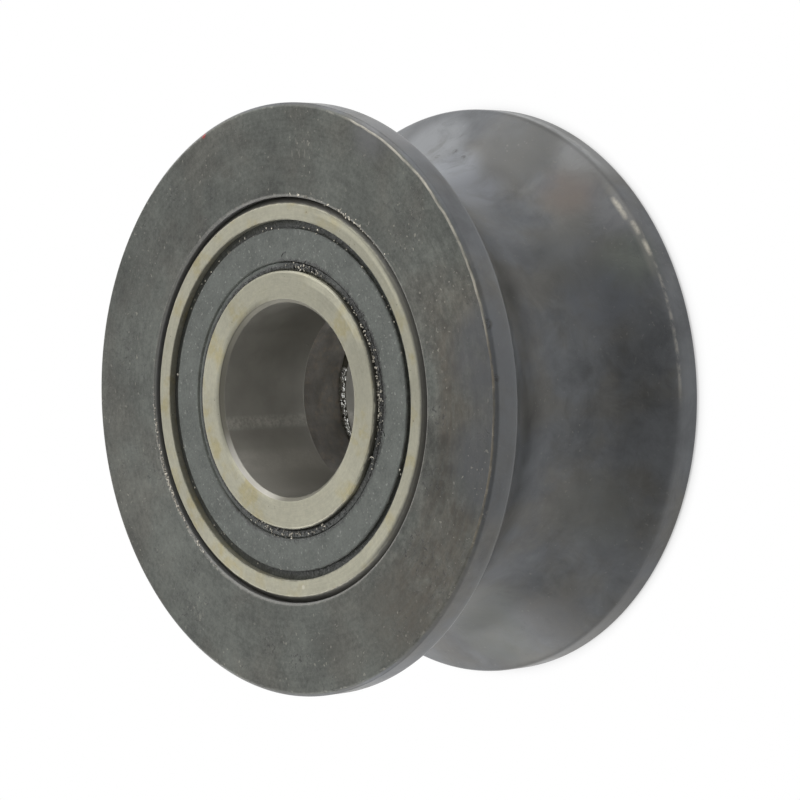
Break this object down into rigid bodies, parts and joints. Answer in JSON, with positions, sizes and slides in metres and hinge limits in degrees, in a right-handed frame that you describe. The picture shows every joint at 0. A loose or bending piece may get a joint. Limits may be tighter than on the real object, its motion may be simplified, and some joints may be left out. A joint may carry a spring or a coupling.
{
  "type": "v groove wheel",
  "caption": "Steel track wheel with a rounded V groove, turning on two sealed ball bearings with a spacer ring between them.",
  "frame": {"origin": "centre of the axle bore, midway between the wheel's two faces", "axes": "+Z along the axle, from the rear face to the front face"},
  "size_m": [0.076, 0.076, 0.037],
  "materials": {
    "black_steel": "turned steel, black oxide finish, worn bright at the edges",
    "raw_steel": "rough tube, rust brown",
    "bearing_steel": "ground, warm oil film",
    "ball_steel": "polished",
    "pressed_steel": "pressed, satin",
    "seal_rubber": "matt, lightly greasy"
  },
  "bodies": {
    "hub": {"spacer_ring": "raw_steel", "front_inner_ring": "bearing_steel", "rear_inner_ring": "bearing_steel"},
    "wheel": {"wheel_body": "black_steel", "front_outer_ring": "bearing_steel", "front_face_seal": "seal_rubber", "front_face_seal_insert": "pressed_steel", "front_rib_seal": "seal_rubber", "front_rib_seal_insert": "pressed_steel", "rear_outer_ring": "bearing_steel", "rear_face_seal": "seal_rubber", "rear_face_seal_insert": "pressed_steel", "rear_rib_seal": "seal_rubber", "rear_rib_seal_insert": "pressed_steel"},
    "front_cage": {"front_cage_face_half": "pressed_steel", "front_cage_rib_half": "pressed_steel", "front_cage_rivets": "pressed_steel"},
    "rear_cage": {"rear_cage_face_half": "pressed_steel", "rear_cage_rib_half": "pressed_steel", "rear_cage_rivets": "pressed_steel"},
    "front_ball_1": {"front_ball_1": "ball_steel"},
    "front_ball_2": {"front_ball_2": "ball_steel"},
    "front_ball_3": {"front_ball_3": "ball_steel"},
    "front_ball_4": {"front_ball_4": "ball_steel"},
    "front_ball_5": {"front_ball_5": "ball_steel"},
    "front_ball_6": {"front_ball_6": "ball_steel"},
    "front_ball_7": {"front_ball_7": "ball_steel"},
    "front_ball_8": {"front_ball_8": "ball_steel"},
    "front_ball_9": {"front_ball_9": "ball_steel"},
    "rear_ball_1": {"rear_ball_1": "ball_steel"},
    "rear_ball_2": {"rear_ball_2": "ball_steel"},
    "rear_ball_3": {"rear_ball_3": "ball_steel"},
    "rear_ball_4": {"rear_ball_4": "ball_steel"},
    "rear_ball_5": {"rear_ball_5": "ball_steel"},
    "rear_ball_6": {"rear_ball_6": "ball_steel"},
    "rear_ball_7": {"rear_ball_7": "ball_steel"},
    "rear_ball_8": {"rear_ball_8": "ball_steel"},
    "rear_ball_9": {"rear_ball_9": "ball_steel"}
  },
  "joints": [
    {"name": "wheel_spin", "type": "hinge", "parent": "hub", "child": "wheel", "pos_m": [0, 0, 0], "axis": [0, 0, 1], "continuous": true},
    {"name": "front_cage_spin", "type": "hinge", "parent": "hub", "child": "front_cage", "pos_m": [0, 0, 0.0108], "axis": [0, 0, 1], "continuous": true},
    {"name": "front_ball_1_spin", "type": "hinge", "parent": "front_cage", "child": "front_ball_1", "pos_m": [0.01475, 0.01237, 0.0108], "axis": [0, 0, 1], "continuous": true},
    {"name": "front_ball_2_spin", "type": "hinge", "parent": "front_cage", "child": "front_ball_2", "pos_m": [0.00334, 0.01896, 0.0108], "axis": [0, 0, 1], "continuous": true},
    {"name": "front_ball_3_spin", "type": "hinge", "parent": "front_cage", "child": "front_ball_3", "pos_m": [-0.00962, 0.01667, 0.0108], "axis": [0, 0, 1], "continuous": true},
    {"name": "front_ball_4_spin", "type": "hinge", "parent": "front_cage", "child": "front_ball_4", "pos_m": [-0.01809, 0.00658, 0.0108], "axis": [0, 0, 1], "continuous": true},
    {"name": "front_ball_5_spin", "type": "hinge", "parent": "front_cage", "child": "front_ball_5", "pos_m": [-0.01809, -0.00658, 0.0108], "axis": [0, 0, 1], "continuous": true},
    {"name": "front_ball_6_spin", "type": "hinge", "parent": "front_cage", "child": "front_ball_6", "pos_m": [-0.00962, -0.01667, 0.0108], "axis": [0, 0, 1], "continuous": true},
    {"name": "front_ball_7_spin", "type": "hinge", "parent": "front_cage", "child": "front_ball_7", "pos_m": [0.00334, -0.01896, 0.0108], "axis": [0, 0, 1], "continuous": true},
    {"name": "front_ball_8_spin", "type": "hinge", "parent": "front_cage", "child": "front_ball_8", "pos_m": [0.01475, -0.01237, 0.0108], "axis": [0, 0, 1], "continuous": true},
    {"name": "front_ball_9_spin", "type": "hinge", "parent": "front_cage", "child": "front_ball_9", "pos_m": [0.01925, 0, 0.0108], "axis": [0, 0, 1], "continuous": true},
    {"name": "rear_cage_spin", "type": "hinge", "parent": "hub", "child": "rear_cage", "pos_m": [0, 0, -0.0108], "axis": [0, 0, 1], "continuous": true},
    {"name": "rear_ball_1_spin", "type": "hinge", "parent": "rear_cage", "child": "rear_ball_1", "pos_m": [0.01475, 0.01237, -0.0108], "axis": [0, 0, 1], "continuous": true},
    {"name": "rear_ball_2_spin", "type": "hinge", "parent": "rear_cage", "child": "rear_ball_2", "pos_m": [0.00334, 0.01896, -0.0108], "axis": [0, 0, 1], "continuous": true},
    {"name": "rear_ball_3_spin", "type": "hinge", "parent": "rear_cage", "child": "rear_ball_3", "pos_m": [-0.00962, 0.01667, -0.0108], "axis": [0, 0, 1], "continuous": true},
    {"name": "rear_ball_4_spin", "type": "hinge", "parent": "rear_cage", "child": "rear_ball_4", "pos_m": [-0.01809, 0.00658, -0.0108], "axis": [0, 0, 1], "continuous": true},
    {"name": "rear_ball_5_spin", "type": "hinge", "parent": "rear_cage", "child": "rear_ball_5", "pos_m": [-0.01809, -0.00658, -0.0108], "axis": [0, 0, 1], "continuous": true},
    {"name": "rear_ball_6_spin", "type": "hinge", "parent": "rear_cage", "child": "rear_ball_6", "pos_m": [-0.00962, -0.01667, -0.0108], "axis": [0, 0, 1], "continuous": true},
    {"name": "rear_ball_7_spin", "type": "hinge", "parent": "rear_cage", "child": "rear_ball_7", "pos_m": [0.00334, -0.01896, -0.0108], "axis": [0, 0, 1], "continuous": true},
    {"name": "rear_ball_8_spin", "type": "hinge", "parent": "rear_cage", "child": "rear_ball_8", "pos_m": [0.01475, -0.01237, -0.0108], "axis": [0, 0, 1], "continuous": true},
    {"name": "rear_ball_9_spin", "type": "hinge", "parent": "rear_cage", "child": "rear_ball_9", "pos_m": [0.01925, 0, -0.0108], "axis": [0, 0, 1], "continuous": true}
  ],
  "couplings": [
    {"joint": "front_cage_spin", "follows": "wheel_spin", "ratio": 0.60309},
    {"joint": "front_ball_1_spin", "follows": "wheel_spin", "ratio": 2.322},
    {"joint": "front_ball_2_spin", "follows": "wheel_spin", "ratio": 2.322},
    {"joint": "front_ball_3_spin", "follows": "wheel_spin", "ratio": 2.322},
    {"joint": "front_ball_4_spin", "follows": "wheel_spin", "ratio": 2.322},
    {"joint": "front_ball_5_spin", "follows": "wheel_spin", "ratio": 2.322},
    {"joint": "front_ball_6_spin", "follows": "wheel_spin", "ratio": 2.322},
    {"joint": "front_ball_7_spin", "follows": "wheel_spin", "ratio": 2.322},
    {"joint": "front_ball_8_spin", "follows": "wheel_spin", "ratio": 2.322},
    {"joint": "front_ball_9_spin", "follows": "wheel_spin", "ratio": 2.322},
    {"joint": "rear_cage_spin", "follows": "wheel_spin", "ratio": 0.60309},
    {"joint": "rear_ball_1_spin", "follows": "wheel_spin", "ratio": 2.322},
    {"joint": "rear_ball_2_spin", "follows": "wheel_spin", "ratio": 2.322},
    {"joint": "rear_ball_3_spin", "follows": "wheel_spin", "ratio": 2.322},
    {"joint": "rear_ball_4_spin", "follows": "wheel_spin", "ratio": 2.322},
    {"joint": "rear_ball_5_spin", "follows": "wheel_spin", "ratio": 2.322},
    {"joint": "rear_ball_6_spin", "follows": "wheel_spin", "ratio": 2.322},
    {"joint": "rear_ball_7_spin", "follows": "wheel_spin", "ratio": 2.322},
    {"joint": "rear_ball_8_spin", "follows": "wheel_spin", "ratio": 2.322},
    {"joint": "rear_ball_9_spin", "follows": "wheel_spin", "ratio": 2.322}
  ]
}
